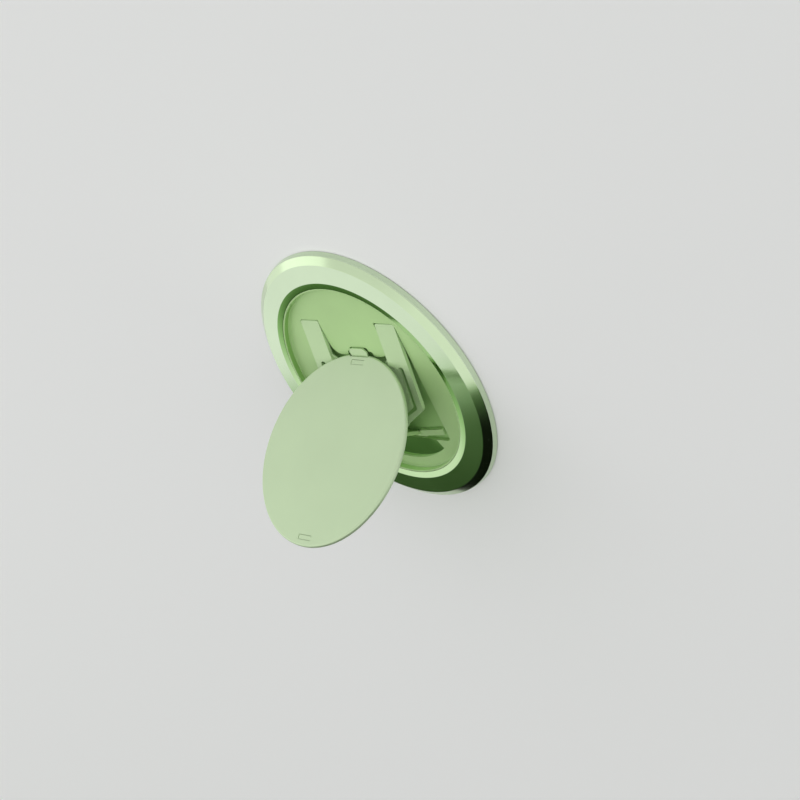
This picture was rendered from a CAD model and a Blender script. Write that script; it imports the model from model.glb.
# Magnetic phone grip, open: a low ring round a flat tray, a sprung latch frame,
# and a thin disc on a folding link. Everything is in metres, +Z out of the base.
import math

import bpy
from mathutils import Matrix, Vector


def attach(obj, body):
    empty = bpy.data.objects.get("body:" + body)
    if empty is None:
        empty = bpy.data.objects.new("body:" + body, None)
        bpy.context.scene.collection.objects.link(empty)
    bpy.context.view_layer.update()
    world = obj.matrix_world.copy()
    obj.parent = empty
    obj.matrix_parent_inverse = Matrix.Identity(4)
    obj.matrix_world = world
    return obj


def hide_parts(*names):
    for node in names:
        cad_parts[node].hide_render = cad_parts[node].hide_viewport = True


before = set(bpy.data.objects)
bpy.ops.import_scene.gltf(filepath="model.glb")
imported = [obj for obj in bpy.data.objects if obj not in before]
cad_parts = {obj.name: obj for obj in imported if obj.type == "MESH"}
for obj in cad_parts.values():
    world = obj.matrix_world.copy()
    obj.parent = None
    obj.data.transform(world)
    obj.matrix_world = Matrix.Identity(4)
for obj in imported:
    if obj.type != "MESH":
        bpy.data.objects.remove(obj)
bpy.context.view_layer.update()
scene = bpy.context.scene

# Broad outer ring. Turned aluminium with a pale green satin coat: bevelled foot,
# thin bright crease, broad face and a chamfer that drops to the tray. It is hollow
# below for the magnets.
MM = 0.001
ARCS = 288              # steps round a turned piece
TURNED_WELD = 2e-6
DRIFT_SCALE = 70        # slow drift of colour and gloss, per metre
DRIFT_FROM, DRIFT_TO = 0.3, 0.7
GLOSS_SWING = 0.03
BLAST_SCALE = 9000      # fine blasted grain, per metre
BLAST_DEPTH = 0.00002


def turned(name, section):
    """Turn a closed section (radius, height in mm) by extruding a circle's edge."""
    bpy.ops.object.select_all(action="DESELECT")
    radius, height = section[0]
    bpy.ops.mesh.primitive_circle_add(vertices=ARCS, radius=radius * MM,
                                      location=(0, 0, height * MM))
    piece = bpy.context.object
    piece.name = name
    bpy.ops.object.transform_apply(location=True, rotation=True, scale=True)
    bpy.ops.object.mode_set(mode="EDIT")
    bpy.ops.mesh.select_all(action="SELECT")
    for r, z in section[1:] + section[:1]:
        rise = (0, 0, (z - height) * MM)
        bpy.ops.mesh.extrude_edges_move(TRANSFORM_OT_translate={"value": rise})
        bpy.ops.transform.resize(value=(r / radius, r / radius, 1),
                                 center_override=(0, 0, 0))
        radius, height = r, z
    bpy.ops.mesh.select_all(action="SELECT")
    bpy.ops.mesh.remove_doubles(threshold=TURNED_WELD)
    bpy.ops.mesh.normals_make_consistent(inside=False)
    bpy.ops.object.mode_set(mode="OBJECT")
    return piece


def satin(name, colour, metallic, roughness, grain=0.05, tint=0.04):
    """Satin coat: slow colour drift, fine blasted grain and a faintly uneven gloss."""
    mat = bpy.data.materials.new(name)
    mat.use_nodes = True
    nodes, links = mat.node_tree.nodes, mat.node_tree.links
    shader = nodes["Principled BSDF"]
    shader.inputs["Metallic"].default_value = metallic
    place = nodes.new("ShaderNodeTexCoord")
    drift = nodes.new("ShaderNodeTexNoise")
    drift.inputs["Scale"].default_value = DRIFT_SCALE
    drift.inputs["Detail"].default_value = 3
    links.new(place.outputs["Object"], drift.inputs["Vector"])
    ramp = nodes.new("ShaderNodeValToRGB")
    dark, light = ramp.color_ramp.elements
    dark.position, light.position = DRIFT_FROM, DRIFT_TO
    dark.color = [c * (1 - tint) for c in colour] + [1]
    light.color = [min(1, c * (1 + tint)) for c in colour] + [1]
    links.new(drift.outputs["Fac"], ramp.inputs["Fac"])
    links.new(ramp.outputs["Color"], shader.inputs["Base Color"])
    gloss = nodes.new("ShaderNodeMapRange")
    gloss.inputs["To Min"].default_value = roughness - GLOSS_SWING
    gloss.inputs["To Max"].default_value = roughness + GLOSS_SWING
    links.new(drift.outputs["Fac"], gloss.inputs["Value"])
    links.new(gloss.outputs["Result"], shader.inputs["Roughness"])
    blast = nodes.new("ShaderNodeTexNoise")
    blast.inputs["Scale"].default_value = BLAST_SCALE
    blast.inputs["Detail"].default_value = 2
    links.new(place.outputs["Object"], blast.inputs["Vector"])
    bump = nodes.new("ShaderNodeBump")
    bump.inputs["Strength"].default_value = grain
    bump.inputs["Distance"].default_value = BLAST_DEPTH
    links.new(blast.outputs["Fac"], bump.inputs["Height"])
    links.new(bump.outputs["Normal"], shader.inputs["Normal"])
    return mat


def coat(piece, mat, edge_angle=30):
    """Give a piece its finish and smooth all but its real edges."""
    piece.data.materials.clear()
    piece.data.materials.append(mat)
    bpy.ops.object.select_all(action="DESELECT")
    bpy.context.view_layer.objects.active = piece
    piece.select_set(True)
    bpy.ops.object.shade_smooth_by_angle(angle=math.radians(edge_angle))
    even = piece.modifiers.new("even", "WEIGHTED_NORMAL")
    even.keep_sharp = True
    bpy.ops.object.modifier_apply(modifier="even")


def refinish(piece, mat, chosen):
    """Give the chosen faces of a coated piece (centre in mm, normal) another finish."""
    piece.data.materials.append(mat)
    index = len(piece.data.materials) - 1
    for face in piece.data.polygons:
        if chosen(face.center / MM, face.normal):
            face.material_index = index


foot = [(28.65, 0.1), (28.96, 0.1), (29.0, 0.14)]
foot_edge = [(28.735, 1.12), (28.70, 1.20), (28.63, 1.27)]
bevel_edge = [(27.26, 2.185), (27.20, 2.215), (27.13, 2.228)]
chamfer_edge = [(23.42, 2.524), (23.35, 2.528), (23.28, 2.524)]
bore_edge = [(22.05, 2.398), (22.0, 2.38)]
channel = [(22.0, 0.25), (23.1, 0.25), (23.1, 1.95),
           (26.9, 1.95), (26.9, 0.25), (28.65, 0.25)]
BEVEL_R, BEVEL_Z = 27.2, 1.2            # the bevel lies outside and above these
CHAMFER_R, CHAMFER_Z = 23.25, 2.3       # the chamfer lies inside and above these
ring = turned("ring_shell", foot + foot_edge + bevel_edge + chamfer_edge + bore_edge + channel)
ring_green = satin("ring_satin_green", (0.617, 0.753, 0.533), 1.0, 0.14, grain=0.02)
bevel_green = satin("bevel_satin_green", (0.615, 0.765, 0.50), 1.0, 0.16, grain=0.02)
chamfer_green = satin("chamfer_satin_green", (0.53, 0.735, 0.40), 1.0, 0.09, grain=0.02)
coat(ring, ring_green, edge_angle=22)
refinish(ring, bevel_green, lambda c, n: c.xy.length > BEVEL_R and c.z > BEVEL_Z)
refinish(ring, chamfer_green, lambda c, n: c.xy.length < CHAMFER_R and c.z > CHAMFER_Z)
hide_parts("bezel_ring")
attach(ring, "base")

# Flat tray in the ring. Pressed sheet with the pocket, the island between the legs,
# the shallow fingertip scoop and an edge turned up to the ring's chamfer, whose slope
# it carries on. Its edges are a little rounded by the tool, and the scoop is polished.
EDGE_TOP_Z, EDGE_BORE_R = 2.32, 21.75   # the edge's inner corner lies above and inside these
EDGE_DROP = 0.035
WALL_R, WALL_Z = 21, 1.1                # the turned-up edge lies outside and above these
WALL_SLOPES = 0.1, 0.98                 # its roundings slope between these and keep the coat
SCOOP_Y = -14.03
SCOOP_LOW_Z, SCOOP_HIGH_Z = 0.5, 1.04
SCOOP_LEAN = 0.05
COPY_WELD = 1e-6
FLAT_ANGLE = math.radians(0.4)          # faces flatter than this are joined
BEVEL_ANGLE = math.radians(35)          # edges sharper than this are rounded


def softened(node, name, width, segments=2):
    """Take a copy of a solid's mesh, join its triangles to faces and round its edges (mm)."""
    piece = bpy.data.objects.new(name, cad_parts[node].data.copy())
    scene.collection.objects.link(piece)
    bpy.ops.object.select_all(action="DESELECT")
    bpy.context.view_layer.objects.active = piece
    piece.select_set(True)
    bpy.ops.object.mode_set(mode="EDIT")
    bpy.ops.mesh.select_all(action="SELECT")
    bpy.ops.mesh.remove_doubles(threshold=COPY_WELD)
    bpy.ops.mesh.customdata_custom_splitnormals_clear()
    bpy.ops.mesh.dissolve_limited(angle_limit=FLAT_ANGLE)
    bpy.ops.object.mode_set(mode="OBJECT")
    edge = piece.modifiers.new("edge", "BEVEL")
    edge.limit_method = "ANGLE"
    edge.angle_limit = BEVEL_ANGLE
    edge.width = width * MM
    edge.segments = segments
    edge.use_clamp_overlap = True
    bpy.ops.object.modifier_apply(modifier="edge")
    return piece


def nudge(piece, chosen, move=(0, 0, 0), widen=1):
    """Move the chosen points of the active piece (mm) and spread them along X."""
    bpy.ops.object.mode_set(mode="EDIT")
    bpy.ops.mesh.select_all(action="DESELECT")
    bpy.ops.object.mode_set(mode="OBJECT")
    for point in piece.data.vertices:
        point.select = chosen(point.co / MM)
    bpy.ops.object.mode_set(mode="EDIT")
    bpy.ops.transform.translate(value=[step * MM for step in move])
    bpy.ops.transform.resize(value=(widen, 1, 1), center_override=(0, 0, 0))
    bpy.ops.object.mode_set(mode="OBJECT")


tray = softened("tray", "tray_sheet", 0.05)
nudge(tray, lambda p: p.z > EDGE_TOP_Z and p.xy.length < EDGE_BORE_R, move=(0, 0, -EDGE_DROP))
tray_green = satin("tray_satin_green", (0.48, 0.71, 0.315), 0.15, 0.45)
scoop_green = satin("scoop_polished_green", (0.44, 0.66, 0.31), 1.0, 0.15)
coat(tray, tray_green)
refinish(tray, scoop_green,
         lambda c, n: c.y < SCOOP_Y and SCOOP_LOW_Z < c.z < SCOOP_HIGH_Z and n.y < SCOOP_LEAN)
refinish(tray, chamfer_green, lambda c, n: c.xy.length > WALL_R and c.z > WALL_Z
         and not WALL_SLOPES[0] < n.z < WALL_SLOPES[1])
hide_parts("tray")
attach(tray, "base")

# Back cover. A thin moulded plate in a darker green, glued into the ring's underside,
# where it closes the channel with the magnets.
cover_green = satin("cover_green", (0.36, 0.60, 0.22), 0.3, 0.5)
coat(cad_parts["back_cover"], cover_green)

# Friction pad. Thin black rubber, stuck on the back cover. It lies on the phone and
# keeps the grip from sliding.
pad_rubber = satin("friction_rubber", (0.05, 0.05, 0.05), 0.0, 0.75, grain=0.4)
coat(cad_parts["friction_pad"], pad_rubber)

# Magnets. Small plated blocks in a circle, glued into the channel under the ring's
# face, that hold the grip on the phone.
MAGNETS = 18
steel = satin("plain_steel", (0.45, 0.45, 0.47), 1.0, 0.35)
for number in range(1, MAGNETS + 1):
    coat(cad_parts["magnet_%02d" % number], steel)

# Shield ring. Flat stamped steel, laid into the channel above the magnets, that sends
# their pull downwards.
coat(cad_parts["shield_ring"], steel)

# Sprung latch frame. Pressed sheet with two slotted legs, hinged at the tray's upper
# end; its catch holds the disc's edge while the grip is open, and it reaches up to
# the island with a thin gap.
CATCH_Y, CATCH_HALF = 6.4, 2.5          # the catch's end lies beyond and within these
CATCH_SHIFT, CATCH_WIDEN = 0.18, 1.06
latch = softened("latch_frame", "latch_sheet", 0.07, segments=3)
nudge(latch, lambda p: p.y > CATCH_Y and abs(p.x) < CATCH_HALF,
      move=(0, CATCH_SHIFT, 0), widen=CATCH_WIDEN)
latch_green = satin("latch_satin_green", (0.53, 0.71, 0.40), 0.25, 0.42)
coat(latch, latch_green)
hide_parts("latch_frame")
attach(latch, "frame")

# Hinge pins. Ground steel wire, pressed into the tray's walls, the rail and the
# ears on the disc's back.
for name in ("frame_pin_left", "frame_pin_right", "link_pin", "disc_pin"):
    coat(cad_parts[name], steel)

# Bowed hinge rail across the pocket. Pressed aluminium with the tray's coat, fixed
# at both ends, with the link's bearing in its middle.
rail = softened("hinge_rail", "rail_bar", 0.06)
coat(rail, tray_green)
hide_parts("hinge_rail")
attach(rail, "base")

# Link between rail and disc. A flat plate with the tray's coat and a rolled barrel at
# each end, which turns on the hinge pins.
link = softened("support_link", "link_plate", 0.06)
coat(link, tray_green)
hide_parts("support_link")
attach(link, "link")

# Front of the disc. A thin turned cap with a satin coat and two small windows; the
# disc leans on the latch frame and stands on the link.
disc_front = softened("disc_cover", "disc_front", 0.05)
disc_green = satin("disc_satin_green", (0.57, 0.715, 0.46), 0.5, 0.4, tint=0.02)
coat(disc_front, disc_green)
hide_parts("disc_cover")
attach(disc_front, "disc")

# Back plate of the disc. Coated sheet with the two ears of the hinge; its tabs snap
# into the windows of the front and nearly fill them from end to end.
DISC_MID_Z, TABS_FROM = 17, 12          # the tabs lie this far up and down from the middle
TAB_SIDE, TAB_END = 1.5, 1.56           # the tabs' ends lie between these
TAB_WIDEN = 1.12
disc_plate = softened("disc_back", "disc_plate", 0.03)
nudge(disc_plate, lambda p: TAB_SIDE < abs(p.x) < TAB_END and abs(p.z - DISC_MID_Z) > TABS_FROM,
      widen=TAB_WIDEN)
coat(disc_plate, disc_green)
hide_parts("disc_back")
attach(disc_plate, "disc")

# Pale floor under the grip.
bpy.ops.object.select_all(action="DESELECT")
bpy.ops.mesh.primitive_plane_add(size=6, location=(0, 0, 0))
floor = bpy.context.object
floor.name = "floor"
floor_mat = bpy.data.materials.new("pale_floor")
floor_mat.use_nodes = True
floor_shader = floor_mat.node_tree.nodes["Principled BSDF"]
floor_shader.inputs["Base Color"].default_value = (0.94, 0.94, 0.94, 1)
floor_shader.inputs["Roughness"].default_value = 0.6
floor.data.materials.append(floor_mat)

# Soft studio: a white tent that is open to a dark green ground towards -Y, which the
# polished ring mirrors. The ramp runs from -Y at 0 to +Y at 1.
TENT = (
    (0.19, (0.025, 0.044, 0.020)),
    (0.22, (0.045, 0.088, 0.027)),
    (0.264, (0.06, 0.125, 0.035)),
    (0.280, (0.38, 0.56, 0.28)),
    (0.298, (1.0, 1.0, 1.0)),
    (0.6, (1.0, 1.0, 1.0)),
)
world = bpy.data.worlds.new("studio")
scene.world = world
world.use_nodes = True
nodes, links = world.node_tree.nodes, world.node_tree.links
where = nodes.new("ShaderNodeTexCoord")
split = nodes.new("ShaderNodeSeparateXYZ")
links.new(where.outputs["Generated"], split.inputs[0])
spread = nodes.new("ShaderNodeMapRange")
spread.inputs["From Min"].default_value = -1
links.new(split.outputs["Y"], spread.inputs["Value"])
tent = nodes.new("ShaderNodeValToRGB")
stops = tent.color_ramp.elements
stops[0].position, stops[0].color = 0.15, (0.003, 0.005, 0.002, 1)
stops[1].position, stops[1].color = 0.75, (0.82, 0.82, 0.82, 1)
for position, colour in TENT:
    stops.new(position).color = (*colour, 1)
links.new(spread.outputs["Result"], tent.inputs["Fac"])
links.new(tent.outputs["Color"], nodes["Background"].inputs["Color"])

# One broad, soft lamp from the left, aimed at the middle of the grip.
lamp = bpy.data.lights.new("softbox", "AREA")
lamp.shape = "DISK"
lamp.size = 0.6
lamp.energy = 0.35
softbox = bpy.data.objects.new("softbox", lamp)
scene.collection.objects.link(softbox)
softbox.location = (-0.83, 0.31, 0.46)
aim = Vector((0, 0, 0.01)) - softbox.location
softbox.rotation_euler = aim.to_track_quat("-Z", "Y").to_euler()

# Camera at the photograph's place, turned as the photograph is.
cam_data = bpy.data.cameras.new("camera")
cam_data.sensor_width = 36
cam_data.lens = 80.86
cam_data.clip_start = 0.01
camera = bpy.data.objects.new("camera", cam_data)
scene.collection.objects.link(camera)
camera.matrix_world = Matrix((
    (0.674941, -0.06598, 0.734916, 0.260295),
    (-0.405344, 0.799096, 0.444007, 0.149633),
    (-0.616564, -0.597572, 0.512598, 0.179331),
    (0, 0, 0, 1),
))
scene.camera = camera
scene.view_settings.view_transform = "Standard"
